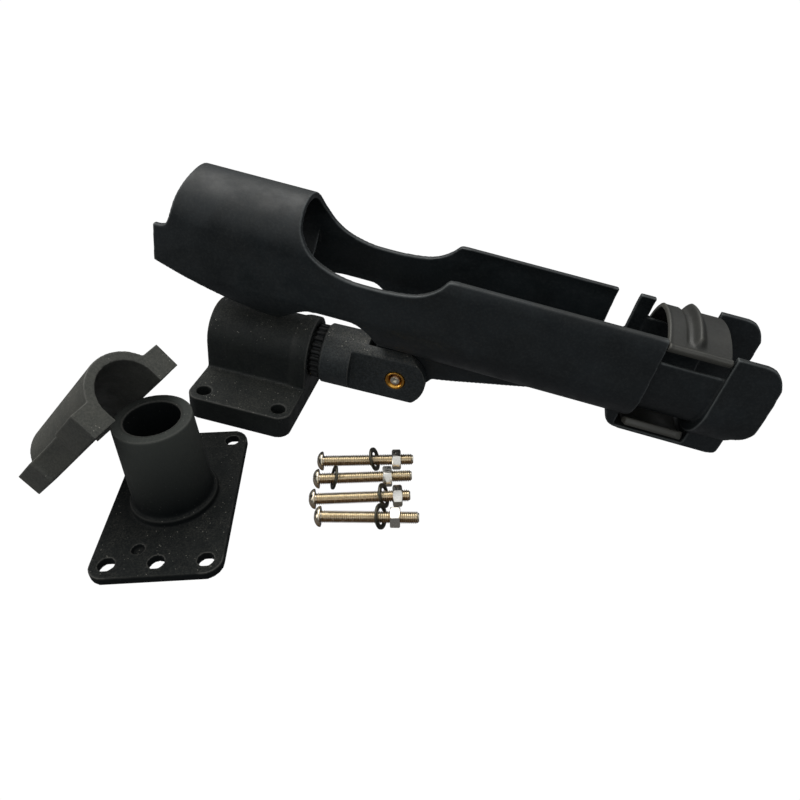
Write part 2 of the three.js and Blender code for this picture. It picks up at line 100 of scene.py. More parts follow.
def gear(root, tip):
    """Toothed outline about the arm axis."""
    outline = []
    pitch = 360 / TEETH
    for i in range(TEETH):
        mid = pitch * i
        outline += arc(0, AXIS_Z, root, mid - pitch * 0.5, mid - pitch * 0.3, 2)
        outline += arc(0, AXIS_Z, tip, mid - pitch * 0.2, mid + pitch * 0.2, 3)
        outline += arc(0, AXIS_Z, root, mid + pitch * 0.3, mid + pitch * 0.48, 1)
    return outline


def soften(points, step):
    """Runs a smooth curve (Catmull-Rom) through the points of an open line."""
    line = np.array(points, float)
    last = len(line) - 1
    curve = []
    for i in range(last):
        before, start = line[max(i - 1, 0)], line[i]
        end, after = line[i + 1], line[min(i + 2, last)]
        count = max(1, int(np.linalg.norm(end - start) / step))
        for k in range(count):
            t = k / count
            curve.append(tuple(0.5 * (
                2 * start + (end - before) * t
                + (2 * before - 5 * start + 4 * end - after) * t * t
                + (3 * start - before - 3 * end + after) * t ** 3)))
    return curve + [tuple(line[-1])]


# ---------------------------------------------------------------- solids
def mesh_object(verts, faces):
    mesh = bpy.data.meshes.new("tmp")
    mesh.from_pydata(verts, [], faces)
    bm = bmesh.new()
    bm.from_mesh(mesh)
    bmesh.ops.remove_doubles(bm, verts=bm.verts, dist=1e-5)
    bmesh.ops.recalc_face_normals(bm, faces=bm.faces)
    bm.to_mesh(mesh)
    bm.free()
    obj = bpy.data.objects.new("tmp", mesh)
    scene.collection.objects.link(obj)
    return obj


def sweep(outline, start, end, place):
    """Sweeps a closed outline; place(u, v, station) gives the 3-D point."""
    def apart(a, b):
        return hypot(a[0] - b[0], a[1] - b[1])

    points = []
    for point in outline:
        if not points or apart(point, points[-1]) > 1e-4:
            points.append(point)
    if apart(points[0], points[-1]) < 1e-4:
        points.pop()
    n = len(points)
    verts = [place(u, v, station) for station in (start, end) for u, v in points]
    faces = [list(range(n))[::-1], list(range(n, 2 * n))]
    faces += [[i, (i + 1) % n, n + (i + 1) % n, n + i] for i in range(n)]
    return mesh_object(verts, faces)


def along_x(outline, start, end):
    return sweep(outline, start, end, lambda u, v, x: (x, u, v))


def along_y(outline, start, end):
    return sweep(outline, start, end, lambda u, v, y: (u, y, v))


def along_z(outline, start, end):
    return sweep(outline, start, end, lambda u, v, z: (u, v, z))


def lathe(profile, segments=96, axis="Z", centre=(0, 0, 0)):
    """Turns (radius, height) points; they start and end on the axis, or close on themselves."""
    closed = profile[0] == profile[-1]
    if closed:
        profile = profile[:-1]
    n = len(profile)
    order = {"X": (2, 0, 1), "Y": (0, 2, 1), "Z": (0, 1, 2)}[axis]
    verts, index = [], {}
    for i, (radius, height) in enumerate(profile):
        for j in range(1 if radius < 1e-6 else segments):
            angle = 2 * pi * j / segments
            point = (radius * cos(angle), radius * sin(angle), height)
            index[i, j] = len(verts)
            verts.append(tuple(point[order[k]] + centre[k] for k in range(3)))

    def vert(i, j):
        return index.get((i, j % segments), index.get((i, 0)))

    faces = []
    for i in range(n if closed else n - 1):
        k = (i + 1) % n
        for j in range(segments):
            corners = (vert(i, j), vert(i, j + 1), vert(k, j + 1), vert(k, j))
            faces.append(list(dict.fromkeys(corners)))  # a triangle where one end is on the axis
    return mesh_object(verts, faces)


def apply_modifiers(obj):
    depsgraph = bpy.context.evaluated_depsgraph_get()
    mesh = bpy.data.meshes.new_from_object(obj.evaluated_get(depsgraph))
    old = obj.data
    obj.modifiers.clear()
    obj.data = mesh
    bpy.data.meshes.remove(old)
    return obj


def boolean(body, tool, operation):
    mod = body.modifiers.new("b", "BOOLEAN")
    mod.operation = operation
    mod.object = tool
    mod.solver = "MANIFOLD"
    apply_modifiers(body)
    mesh = tool.data
    bpy.data.objects.remove(tool)
    bpy.data.meshes.remove(mesh)
    return body


def add(body, tool):
    return boolean(body, tool, "UNION")


def cut(body, tool):
    return boolean(body, tool, "DIFFERENCE")


def meet(body, tool):
    return boolean(body, tool, "INTERSECT")


def mould(obj, voxel, passes, keep):
    """Rounds every edge a little, as on a moulded part: even remesh, smoothing, then thinning."""
    remesh = obj.modifiers.new("r", "REMESH")
    remesh.mode = "VOXEL"
    remesh.voxel_size = voxel
    remesh.adaptivity = 0.0
    smooth = obj.modifiers.new("s", "SMOOTH")
    smooth.factor = 0.5
    smooth.iterations = passes
    obj.modifiers.new("d", "DECIMATE").ratio = keep
    return apply_modifiers(obj)


def settle(obj, name, matrix, body, node, material, angle=None):
    """Puts a finished piece in the row frame in metres, and gives it to its body."""
    obj.name = obj.data.name = name
    obj.data.transform(TO_METRES @ matrix)
    obj.data.materials.clear()
    obj.data.materials.append(material)
    for polygon in obj.data.polygons:
        polygon.use_smooth = True
    if angle is not None:
        obj.data.set_sharp_from_angle(angle=radians(angle))
    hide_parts(node)
    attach(obj, body)


# ---------------------------------------------------------------- shader building
def srgb(code):
    values = [int(code[i:i + 2], 16) / 255 for i in (1, 3, 5)]
    return tuple(v / 12.92 if v <= 0.04045 else ((v + 0.055) / 1.055) ** 2.4
                 for v in values) + (1.0,)


class Shader:
    """Node tree of a material or world."""

    def __init__(self, owner):
        owner.use_nodes = True
        self.tree = owner.node_tree
        self.tree.nodes.clear()

    def feed(self, socket, value):
        """Links another node's output, or sets a value; colours may be hex codes."""
        if isinstance(value, bpy.types.NodeSocket):
            self.tree.links.new(value, socket)
        else:
            socket.default_value = srgb(value) if isinstance(value, str) else value

    def node(self, kind, inputs={}, **settings):
        node = self.tree.nodes.new(kind)
        for key, value in settings.items():
            setattr(node, key, value)
        for key, value in inputs.items():
            self.feed(node.inputs[key], value)
        return node

    def ramp(self, value, across, to=(0.0, 1.0), curve="SMOOTHSTEP"):
        """Maps the range `across` onto the range `to`."""
        inputs = {"Value": value, "From Min": across[0], "From Max": across[1],
                  "To Min": to[0], "To Max": to[1]}
        return self.node("ShaderNodeMapRange", inputs, interpolation_type=curve).outputs["Result"]

    def z_of(self, vector):
        return self.node("ShaderNodeSeparateXYZ", {0: vector}).outputs["Z"]


class Surface(Shader):
    """A Principled material."""

    def __init__(self, name):
        self.material = bpy.data.materials.new(name)
        super().__init__(self.material)
        self.place = self.node("ShaderNodeTexCoord").outputs["Object"]
        geometry = self.node("ShaderNodeNewGeometry")
        self.normal = geometry.outputs["Normal"]
        self.pointiness = geometry.outputs["Pointiness"]

    def noise(self, scale, detail, roughness, distortion=0.0, vector=None):
        inputs = {"Scale": scale, "Detail": detail, "Roughness": roughness,
                  "Distortion": distortion, "Vector": vector or self.place}
        return self.node("ShaderNodeTexNoise", inputs).outputs["Fac"]

    def cloud(self, across, to=(0.0, 1.0), **noise):
        return self.ramp(self.noise(**noise), across, to)

    def math(self, operation, a, b):
        inputs = {0: a, 1: b, 2: 0.0}
        return self.node("ShaderNodeMath", inputs, operation=operation).outputs[0]

    def multiply(self, a, b):
        return self.math("MULTIPLY", a, b)

    def mix(self, factor, first, second):
        mix = self.node("ShaderNodeMix", data_type="RGBA")
        sockets = [socket for socket in mix.inputs if socket.enabled]
        for socket, value in zip(sockets, (factor, first, second)):
            self.feed(socket, value)
        return [socket for socket in mix.outputs if socket.enabled][0]

    def tint(self, base, colour, mask, amount):
        return self.mix(self.multiply(mask, amount), base, colour)

    def bump(self, height, strength, distance, normal=None):
        inputs = {"Strength": strength, "Distance": distance, "Height": height}
        if normal:
            inputs["Normal"] = normal
        return self.node("ShaderNodeBump", inputs).outputs["Normal"]

    def finish(self, inputs):
        bsdf = self.node("ShaderNodeBsdfPrincipled", inputs)
        self.node("ShaderNodeOutputMaterial", {"Surface": bsdf.outputs[0]})
        return self.material


# ---------------------------------------------------------------- materials
def nylon(name, dark, light, specks, roughness, lift=0.0, fleck=0.7, specular=0.42, shade=None):
    """Glass-filled nylon: cloudy mottling, fine grain, pale flecks, paler convex edges and painted
    shade in hollows.

    specks scales grain and bloom (dust with painted sheen), lift adds bloom, fleck is the share
    of flecks on upward faces, and shade may paint light or shade over the colour last.
    """
    mat = Surface(name)
    mottle = mat.cloud(scale=55, detail=6, roughness=0.7, distortion=0.2, across=(0.25, 0.8))
    colour = mat.mix(mottle, dark, light)
    grain = mat.cloud(scale=900, detail=3, roughness=0.7, across=(0.38, 0.66))
    grain_colour = tuple(min(1, v * 2.0 + 0.004) for v in srgb(light)[:3]) + (1,)
    colour = mat.tint(colour, grain_colour, grain, amount=0.45 * specks)

    # upward faces get a paler bloom: part dust, part painted sheen
    up = mat.ramp(mat.z_of(mat.normal), across=(0.25, 1.0))
    patch = mat.multiply(
        mat.cloud(scale=60, detail=3, roughness=0.6, distortion=0.3, across=(0.3, 0.75),
                  to=(0.3, 1.0)),
        mat.cloud(scale=1100, detail=4, roughness=0.8, across=(0.40, 0.66)))
    colour = mat.tint(colour, "#8a877c", mat.multiply(up, patch), amount=0.34 * specks + lift)

    cells = mat.node("ShaderNodeTexVoronoi", {"Scale": 620, "Vector": mat.place})
    dots = mat.math("LESS_THAN", cells.outputs["Distance"], 0.17)
    rare = mat.math("GREATER_THAN", mat.noise(scale=330, detail=2, roughness=0.6), 0.57)
    facing = mat.ramp(mat.z_of(mat.normal), across=(0.1, 0.9), to=(0.08, fleck))
    colour = mat.mix(mat.multiply(mat.multiply(dots, rare), facing), colour, "#b9b6aa")

    edge = mat.ramp(mat.pointiness, across=(0.508, 0.56))
    colour = mat.tint(colour, "#6c6b66", edge, amount=0.55)
    # painted shade: concave hollows are darkened towards near black
    hollow_shade = mat.ramp(mat.pointiness, across=(0.44, 0.492), to=(0.55, 0.0))
    colour = mat.mix(hollow_shade, colour, "#0c0d0d")
    if shade:
        colour = shade(mat, colour)

    gloss = mat.cloud(scale=160, detail=4, roughness=0.6, across=(0.3, 0.7),
                      to=(roughness - 0.1, roughness + 0.1))
    bump = mat.bump(mat.noise(scale=1500, detail=4, roughness=0.75),
                    strength=0.35, distance=0.00012)
    bump = mat.bump(mat.noise(scale=260, detail=3, roughness=0.6),
                    strength=0.22, distance=0.0003, normal=bump)
    return mat.finish({"Base Color": colour, "Roughness": gloss, "Normal": bump,
                       "Specular IOR Level": specular})


def painted_tube_light(mat, colour):
    """Paints light on the socket tube, growing with height, most on upright faces and never in the
    bore.
    """
    minus_tube_axis = (0.00733, 0.1109, 0)
    high = mat.ramp(mat.z_of(mat.place), across=(0.008, 0.052), to=(0.0, 0.85), curve="LINEAR")
    upright = mat.ramp(mat.z_of(mat.normal), across=(0.35, 0.6), to=(1.0, 0.55), curve="LINEAR")
    upper_light = mat.node("ShaderNodeMath", {0: high, 1: upright}, operation="MULTIPLY")
    offset = mat.node("ShaderNodeVectorMath", {0: mat.place, 1: (1, 1, 0), 2: minus_tube_axis},
                      operation="MULTIPLY_ADD")
    distance = mat.node("ShaderNodeVectorMath", {0: offset.outputs["Vector"]}, operation="LENGTH")
    outside = mat.ramp(distance.outputs["Value"], across=(0.0136, 0.0152), curve="LINEAR")
    mask = mat.node("ShaderNodeMath", {0: upper_light.outputs[0], 1: outside}, operation="MULTIPLY")
    return mat.mix(mask.outputs[0], colour, "#50534f")


def shaded_collar(mat, colour):
    """Darkens the arm on the block's side of a station just past its toothed collar."""
    arm_axis = (0.989677, 0, -0.14332)
    station = mat.node("ShaderNodeVectorMath", {0: mat.place, 1: arm_axis},
                       operation="DOT_PRODUCT")
    mask = mat.ramp(station.outputs["Value"], across=(0.0383, 0.0391), to=(0.85, 0.0),
                    curve="LINEAR")
    return mat.mix(mask, colour, "#050606")


def shell(name, dark, light, rim, roughness):
    """Moulded satin shell with faint flow marks, hairline scuffs, pale rims, a bloom of dust and
    painted sheen on upward faces, and painted shade in hollows.
    """
    mat = Surface(name)
    flow = mat.cloud(scale=26, detail=4, roughness=0.55, distortion=1.2, across=(0.34, 0.7))
    colour = mat.mix(flow, dark, light)
    grain = mat.cloud(scale=700, detail=4, roughness=0.7, across=(0.42, 0.7))
    colour = mat.tint(colour, "#4d5150", grain, amount=0.16)

    # noise stretched along the cradle makes the scuffs
    stretched = mat.node("ShaderNodeMapping", {
        "Scale": (60, 900, 900), "Rotation": (0, radians(-10.8), 0), "Vector": mat.place})
    scuff = mat.cloud(scale=1.0, detail=3, roughness=0.7, distortion=0.3,
                      vector=stretched.outputs[0], across=(0.66, 0.78))
    colour = mat.tint(colour, "#5b5e5d", scuff, amount=0.20)

    # upward faces get a paler mottled bloom: part dust, part painted sheen
    up = mat.ramp(mat.z_of(mat.normal), across=(0.15, 0.95))
    patch = mat.cloud(scale=120, detail=5, roughness=0.72, distortion=0.5, across=(0.36, 0.64),
                      to=(0.35, 1.0))
    colour = mat.tint(colour, "#45443f", mat.multiply(up, patch), amount=0.26)
    edge = mat.ramp(mat.pointiness, across=(0.506, 0.55))
    colour = mat.tint(colour, rim, edge, amount=0.75)
    # painted shade: concave hollows are darkened towards near black
    hollow_shade = mat.ramp(mat.pointiness, across=(0.44, 0.493), to=(0.5, 0.0))
    colour = mat.mix(hollow_shade, colour, "#07090a")

    gloss = mat.cloud(scale=90, detail=4, roughness=0.6, across=(0.3, 0.7),
                      to=(roughness - 0.07, roughness + 0.12))
    bump = mat.bump(mat.noise(scale=1300, detail=4, roughness=0.7),
                    strength=0.16, distance=0.0001)
    bump = mat.bump(mat.noise(scale=180, detail=3, roughness=0.5),
                    strength=0.10, distance=0.0003, normal=bump)
    return mat.finish({"Base Color": colour, "Roughness": gloss, "Normal": bump,
                       "Specular IOR Level": 0.45})


def metal(name, bright, warm, roughness, depth, rim, stain):
    """Machined metal, stained: a painted reflection makes it warm (by depth) where it looks down,
    painted shade darkens its hollows, and a painted dark reflection (by rim) darkens it at grazing.
    """
    mat = Surface(name)
    # painted reflection: faces that look down are tinted warm and dim
    down = mat.ramp(mat.z_of(mat.normal), across=(-0.45, 0.62), to=(1.0, 0.0))
    colour = mat.tint(bright, warm, down, amount=depth)
    spots = mat.cloud(scale=260, detail=4, roughness=0.7, across=(0.4, 0.72))
    colour = mat.tint(colour, warm, spots, amount=stain)
    # painted shade: concave hollows are darkened towards dark brown
    hollow_shade = mat.ramp(mat.pointiness, across=(0.40, 0.49), to=(0.55, 0.0))
    colour = mat.mix(hollow_shade, colour, "#2c2010")
    # painted dark reflection at grazing view angles, scaled by rim
    weight = mat.node("ShaderNodeLayerWeight", {"Blend": 0.5})
    grazing = mat.ramp(weight.outputs["Facing"], across=(0.62, 0.93))
    colour = mat.tint(colour, "#15100a", grazing, amount=rim)

    gloss = mat.cloud(scale=800, detail=3, roughness=0.7, across=(0.3, 0.7),
                      to=(roughness - 0.06, roughness + 0.1))
    bump = mat.bump(mat.noise(scale=1800, detail=2, roughness=0.6),
                    strength=0.08, distance=0.00004)
    return mat.finish({"Base Color": colour, "Metallic": 1.0, "Roughness": gloss,
                       "Normal": bump})


BLOCK_NYLON = nylon("nylon_block", "#161a1b", "#212422", specks=0.6, roughness=0.64, specular=0.30)
ARM_NYLON = nylon("nylon_arm", "#1d2224", "#292d2e", specks=1.5, roughness=0.56, lift=0.10,
                  fleck=1.0, shade=shaded_collar)
# the plate's socket tube gets painted light on its upper, upright faces
PLATE_NYLON = nylon("nylon_plate", "#0d1112", "#151818", specks=0.35, roughness=0.7, fleck=0.3,
                    specular=0.14, shade=painted_tube_light)
CLAMP_NYLON = nylon("nylon_clamp", "#3a3c38", "#4b4b45", specks=0.6, roughness=0.62, lift=0.10)
CRADLE_SHELL = shell("cradle_shell", "#14191b", "#1d2326", rim="#5c6060", roughness=0.46)
RING_GREY = shell("ring_grey", "#2c2c29", "#353430", rim="#5a5953", roughness=0.40)
STEEL = metal("steel", "#fff4dc", "#b88a4c", roughness=0.2, depth=1.0, rim=0.95, stain=0.12)
NUT_STEEL = metal("nut_steel", "#f4f0e8", "#cbb892", roughness=0.2, depth=0.7, rim=0.35,
                  stain=0.06)
SCREW_STEEL = metal("screw_steel", "#fffbf0", "#b9b2a0", roughness=0.3, depth=0.6, rim=0.0,
                    stain=0.03)
WASHER_STEEL = metal("washer_steel", "#5c5a50", "#35332b", roughness=0.40, depth=0.8, rim=0.3,
                     stain=0.12)
BRASS = metal("brass", "#f7bb58", "#a9661a", roughness=0.24, depth=0.8, rim=0.4, stain=0.12)

# ---------------------------------------------------------------- mount block
ARCH_R, BORE_R, HOLE_D = 19.4, 13.3, 8.6
FLARE, FLARE_X0, FLARE_STEPS = 1.2, 21.5, 9  # the arch swells towards its +X end
SOCKET_R, SOCKET_TIP, SOCKET_DEPTH = 15.8, 17.3, 7.5


def arch(radius, foot):
    return [(radius, foot)] + arc(0, AXIS_Z, radius, 0, 180, 80) + [(-radius, foot)]


def mount_block():
    end = BASE_X / 2
    block = along_z(round_rect(BASE_X, BASE_Y, BASE_R), 0, BASE_T)
    block = add(block, along_x(arch(ARCH_R, 6), -end, end))
    for i in range(FLARE_STEPS):
        swell = FLARE * sin(pi / 2 * (i + 1) / FLARE_STEPS)
        block = add(block, along_x(arch(ARCH_R + swell, 8), FLARE_X0 + 0.5 * i, end))
    # small fillets where the arch meets the base
    for side in (1, -1):
        fillet = [(side * (ARCH_R - 1), BASE_T - 1), (side * (ARCH_R + 1.1), BASE_T - 1),
                  (side * (ARCH_R + 1.1), BASE_T), (side * (ARCH_R + 0.4), BASE_T + 0.4),
                  (side * (ARCH_R - 1), BASE_T + 2)]
        block = add(block, along_x(fillet, -end, end))
    for x in (-HOLE_X, HOLE_X):
        for y in (-HOLE_Y, HOLE_Y):
            block = cut(block, along_z(circle(x, y, HOLE_D / 2, 48), -1, BASE_T + 1))
    block = cut(block, along_x(circle(0, AXIS_Z, BORE_R), -BASE_X, BASE_X))
    block = cut(block, along_x(gear(SOCKET_R, SOCKET_TIP), end - SOCKET_DEPTH, BASE_X))
    block = mould(block, voxel=0.55, passes=4, keep=0.5)
    settle(block, "mount_block_body", MOUNT_FRAME, "mount", "mount_block", BLOCK_NYLON)


# ---------------------------------------------------------------- swivel arm
STEM_R, STEM_X0 = 12.8, -27
COLLAR_X0, COLLAR_X1, COLLAR_ROOT, COLLAR_TIP = 32.4, 38.6, 15.2, 16.8
BARREL_R, BARREL_X1 = 18.6, 57.3
PIVOT_X, PIVOT_HOLE_R, CUP_HOLE_R, CUP_DEPTH = 85.4, 3.5, 6.35, 4.3
EAR_Y, EAR_R = 12.6, 18.3  # the ears' outer half width and end radius
GAP_Y, GAP_X0 = 6.6, 66  # half width and root of the gap between the ears


def axis_rod(radius, start, end):
    return along_x(circle(0, AXIS_Z, radius), start, end)


def swivel_arm():
    arm = axis_rod(STEM_R, STEM_X0, COLLAR_X1 + 1)
    arm = add(arm, along_x(gear(COLLAR_ROOT, COLLAR_TIP), COLLAR_X0, COLLAR_X1 + 1))
    arm = add(arm, axis_rod(BARREL_R - 0.9, COLLAR_X1, COLLAR_X1 + 1.2))
    arm = add(arm, axis_rod(BARREL_R, COLLAR_X1 + 0.9, BARREL_X1))

    ears = axis_rod(BARREL_R, BARREL_X1 - 1, PIVOT_X + EAR_R + 1)
    side_view = ([(BARREL_X1 - 2, AXIS_Z - 19.5), (PIVOT_X, AXIS_Z - EAR_R - 0.3)]
                 + arc(PIVOT_X, AXIS_Z, EAR_R, -90, 90, 48)
                 + [(PIVOT_X, AXIS_Z + EAR_R + 0.3), (BARREL_X1 - 2, AXIS_Z + 19.5)])
    arm = add(arm, meet(ears, along_y(side_view, -EAR_Y, EAR_Y)))
    gap = [(GAP_X0, AXIS_Z - 30), (PIVOT_X + 40, AXIS_Z - 30),
           (PIVOT_X + 40, AXIS_Z + 30), (GAP_X0, AXIS_Z + 30)]
    arm = cut(arm, along_y(gap, -GAP_Y, GAP_Y))
    pivot_hole = circle(PIVOT_X, AXIS_Z, PIVOT_HOLE_R, 64)
    arm = cut(arm, along_y(pivot_hole, -EAR_Y - 1, EAR_Y + 1))
    cup_hole = circle(PIVOT_X, AXIS_Z, CUP_HOLE_R, 80)
    arm = cut(arm, along_y(cup_hole, -EAR_Y - 1, -EAR_Y + CUP_DEPTH))
    arm = mould(arm, voxel=0.45, passes=4, keep=0.5)
    settle(arm, "swivel_arm_body", MOUNT_FRAME, "arm", "swivel_arm", ARM_NYLON)


# ---------------------------------------------------------------- pivot hardware
# profiles of (radius, distance in +Y from the outer face of the -Y ear)
CUP_PROFILE = [
    (3.35, 1.5), (3.7, 1.0), (4.3, 0.1), (4.7, -0.3), (5.2, -0.55), (5.7, -0.5),
    (6.0, -0.15), (6.05, 0.3), (6.05, 4.0), (3.35, 4.0), (3.35, 1.5)]
SCREW_TIP = [(0, -0.2), (2.3, -0.2), (2.7, -0.05), (2.95, 0.35), (3.05, 0.8)]
# the head, measured from the outer face of the +Y ear
SCREW_HEAD = [
    (3.05, 0.4), (6.2, 0.4), (6.2, 1.2), (5.9, 2.1), (5.2, 2.9), (4.2, 3.5), (3.0, 3.85), (0, 3.9)]


def pivot_hardware():
    start = (PIVOT_X, -EAR_Y, AXIS_Z)
    cup = lathe(CUP_PROFILE, 96, "Y", start)
    settle(cup, "brass_cup", MOUNT_FRAME, "arm", "brass_insert", BRASS, angle=35)

    head = [(radius, 2 * EAR_Y + out) for radius, out in SCREW_HEAD]
    screw = lathe(SCREW_TIP + head, 72, "Y", start)
    tip_socket = hexagon(PIVOT_X, AXIS_Z, 1.5)
    screw = cut(screw, along_y(tip_socket, -EAR_Y - 1, -EAR_Y + 1.1))
    head_socket = hexagon(PIVOT_X, AXIS_Z, 2.3, turn=30)
    screw = cut(screw, along_y(head_socket, EAR_Y + 2.2, EAR_Y + 5))
    settle(screw, "pivot_screw", MOUNT_FRAME, "arm", "pivot_bolt", SCREW_STEEL, angle=35)


# ---------------------------------------------------------------- rod cradle
HOOP_R, HOOP_IR = 25.4, 22  # upper half, centred on Z = 0
SIDE_R, SIDE_IR, SIDE_Z = 27, 23.6, -24  # lower half
OUTSIDE, INSIDE = (HOOP_R, SIDE_R), (HOOP_IR, SIDE_IR)
RIM_Z = 9
NECK_X0, NECK_X1, NECK_TOP, NECK_LAP = 113.4, 147.4, -4, 2.5
NECK_R, NECK_IR, NECK_Z = 24, 22, -20.8
LIP_X1 = 175.5
LUG_X, LUG_Z, LUG_R, LUG_Y, LUG_HOLE_R = -18.5, -69.7, 16, 6.1, 3.4
STRAP_Y = 13

# side-view lines of (x, z)
SCALLOP = [
    (-84, 25.4), (-83.4, 20), (-82, 14), (-79.5, 9.4), (-75.6, 4.4), (-70, 0.2), (-62.5, -3),
    (-52, -5.3), (-40.5, -5.8), (-29.5, -5.3), (-19.5, -4), (-13.4, -2.2), (-8.6, 0.5),
    (-4.4, 4.1), (-1.7, 7.6), (0.4, 8.8), (2.6, RIM_Z)]
REAR_EDGE = [
    (-160.4, -1.9), (-157.4, -1.7), (-155, 0), (-153.3, 4.4), (-151.4, 14), (-149.6, 20),
    (-147.2, 26)]
BELLY = [
    (-95, -45.6), (-92, -45.2), (-88.5, -41.6), (-82, -35.4), (-76, -31.2), (-69, -29.4),
    (-50, -29.1), (-44.5, -30.2), (-40, -32.8), (-36.6, -36.4), (-34, -41), (-32, -46),
    (-30, -52)]
LIP_EDGE = [
    (163, 9.8), (167.5, 8.4), (171, 5.4), (173.6, 1.2), (175, -4), (175.4, -27),
    (174.8, -32), (172.6, -36.6), (168.6, -39.6)]
STRAP_START = [
    (104, -44), (103.2, -49), (104.4, -53.6), (107.4, -57.2), (111, -58.5), (114, -58.9)]
STRAP_END = [(165.5, -58.9), (168.6, -58.0), (170.2, -55.6), (170.2, -44)]
STRAP_INSIDE = [(150.2, -44), (150.2, -56.8), (110.6, -56.8), (110.6, -44)]
KEEL_TOP = [(2.4, -66.2), (12, -64.2), (59.4, -52.6), (98, -48.6), (98, -48)]


def section(hoop_r, side_r, top=None):
    """Outline across the cradle: a full hoop, or cut off flat at the height `top`."""
    lower = arc(0, SIDE_Z, side_r, 184.2, 355.8, 80)
    if top is None:
        return arc(0, 0, hoop_r, 0, 180, 80) + lower
    if top < 0:
        half = hoop_r + (side_r - hoop_r) * top / SIDE_Z
        return [(half, top), (-half, top)] + lower
    return [(hoop_r, top), (-hoop_r, top), (-hoop_r, 0)] + lower + [(hoop_r, 0)]


def neck_section(radius, top):
    return ([(radius - 0.2, top), (-radius + 0.2, top)]
            + arc(0, NECK_Z, radius, 180, 360, 80))


def trough(centre_z, radius, start, end):
    """Cutter that clears the channel's floor."""
    return along_x([(18, 0), (-18, 0)] + arc(0, centre_z, radius, 200, 340, 60), start, end)


def cradle_tube():
    """The long hooped channel, trimmed to its side view."""
    tube = along_x(section(*OUTSIDE), -162.5, NECK_X0)
    tube = cut(tube, along_x(section(*INSIDE), -170, 160))
    above = [(-84, 40)] + soften(SCALLOP, 1.2) + [(160, RIM_Z), (160, 40)]
    tube = cut(tube, along_y(above, -40, 40))
    rear = [(-175, 40), (-175, -1.5)] + soften(REAR_EDGE, 1.2) + [(-147.2, 40)]
    tube = cut(tube, along_y(rear, -40, 40))
    below = [(-175, -18.6), (-162.6, -22.9)] + soften(BELLY, 1.2) + [(-30, -70), (-175, -70)]
    tube = cut(tube, along_y(below, -40, 40))
    # a round floor under the closed hoop
    floor_band = arc(0, 0, HOOP_R - 0.2, 180, 360, 60) + arc(0, 0, HOOP_IR, 360, 180, 60)
    tube = add(tube, along_x(floor_band, -150, -84))
    # notches in the +Y wall: x from, x to, bottom z
    for x0, x1, bottom in ((90.0, 102.4, -15.4), (111.4, 118, -4)):
        notch = [(x0, 20), (x0, bottom), (x1, bottom), (x1, 20)]
        tube = cut(tube, along_y(notch, 12, 40))
    return tube


def cradle_neck():
    """The narrower seat of the locking ring."""
    neck = along_x(neck_section(NECK_R, NECK_TOP), NECK_X0 - NECK_LAP, NECK_X1 + NECK_LAP)
    for x in (NECK_X0 - NECK_LAP, NECK_X1):
        neck = add(neck, along_x(section(*OUTSIDE, NECK_TOP), x, x + NECK_LAP))
    return cut(neck, along_x(neck_section(NECK_IR, 30), 60, 200))


def cradle_lips():
    lips = cut(along_x(section(*OUTSIDE, RIM_Z + 0.6), NECK_X1, LIP_X1),
               along_x(section(*INSIDE, 40), 60, 200))
    side_view = [(NECK_X1 - 1, 9.8)] + soften(LIP_EDGE, 1.5) + [(162, -60), (NECK_X1 - 1, -60)]
    return meet(lips, along_y(side_view, -40, 40))


def rod_cradle():
    cradle = add(cradle_tube(), cradle_neck())
    cradle = add(cradle, cradle_lips())
    strap = soften(STRAP_START, 1.0) + soften(STRAP_END, 1.0) + STRAP_INSIDE
    cradle = add(cradle, along_y(strap, -STRAP_Y, STRAP_Y))
    cradle = cut(cradle, trough(NECK_Z, NECK_IR, 60, 200))
    for start, end in ((60, NECK_X0 - NECK_LAP), (NECK_X1 + NECK_LAP, 200)):
        cradle = cut(cradle, trough(SIDE_Z, SIDE_IR, start, end))

    keel = (arc(LUG_X, LUG_Z, LUG_R, 175, 345, 48) + KEEL_TOP + [(LUG_X - LUG_R + 0.2, -48)])
    cradle = add(cradle, cut(along_y(keel, -LUG_Y, LUG_Y),
                             trough(SIDE_Z, SIDE_IR + 0.4, -60, 200)))
    cradle = cut(cradle, along_y(circle(LUG_X, LUG_Z, LUG_HOLE_R, 48), -20, 20))
    cradle = mould(cradle, voxel=0.6, passes=4, keep=0.55)
    settle(cradle, "rod_cradle_shell", CRADLE_FRAME, "cradle", "rod_cradle",
           CRADLE_SHELL)


# ---------------------------------------------------------------- locking ring
RING_X0, RING_X1 = NECK_X0 + 0.6, NECK_X1 - 0.6
RING_START, RING_END = -126.0, 131.6  # angles from +Y towards +Z
RING_Z, RING_WALL, RING_RO = -22.5, 2.3, 34.0
RING_TOP_R, RING_TOP_Y, RING_TOP_Z = 49.5, 1.4, -15.25  # flatter arc, centred from the ring axis
BEAD_X, BEAD_H = 129.2, 3.7
GROOVE_X, GROOVE_D = 124.6, 0.75
ANGLE_STEPS, WIDTH_STEPS = 300, 96


def ease(value, low, high):
    """Smooth step from 0 at low to 1 at high."""
    k = min(1.0, max(0.0, (value - low) / (high - low)))
    return k * k * (3 - 2 * k)


def bell(offset, width):
    return 0.5 + 0.5 * cos(pi * min(1.0, abs(offset) / width))


def ring_radius(t):
    """Outer radius about the turning axis: round below, flattened over the top."""
    angle = radians(max(t, 60))
    along = RING_TOP_Y * cos(angle) + RING_TOP_Z * sin(angle)
    flat = along + sqrt(along * along + RING_TOP_R ** 2 - RING_TOP_Y ** 2 - RING_TOP_Z ** 2)
    return RING_RO + (flat - RING_RO) * ease(t, 26, 60)


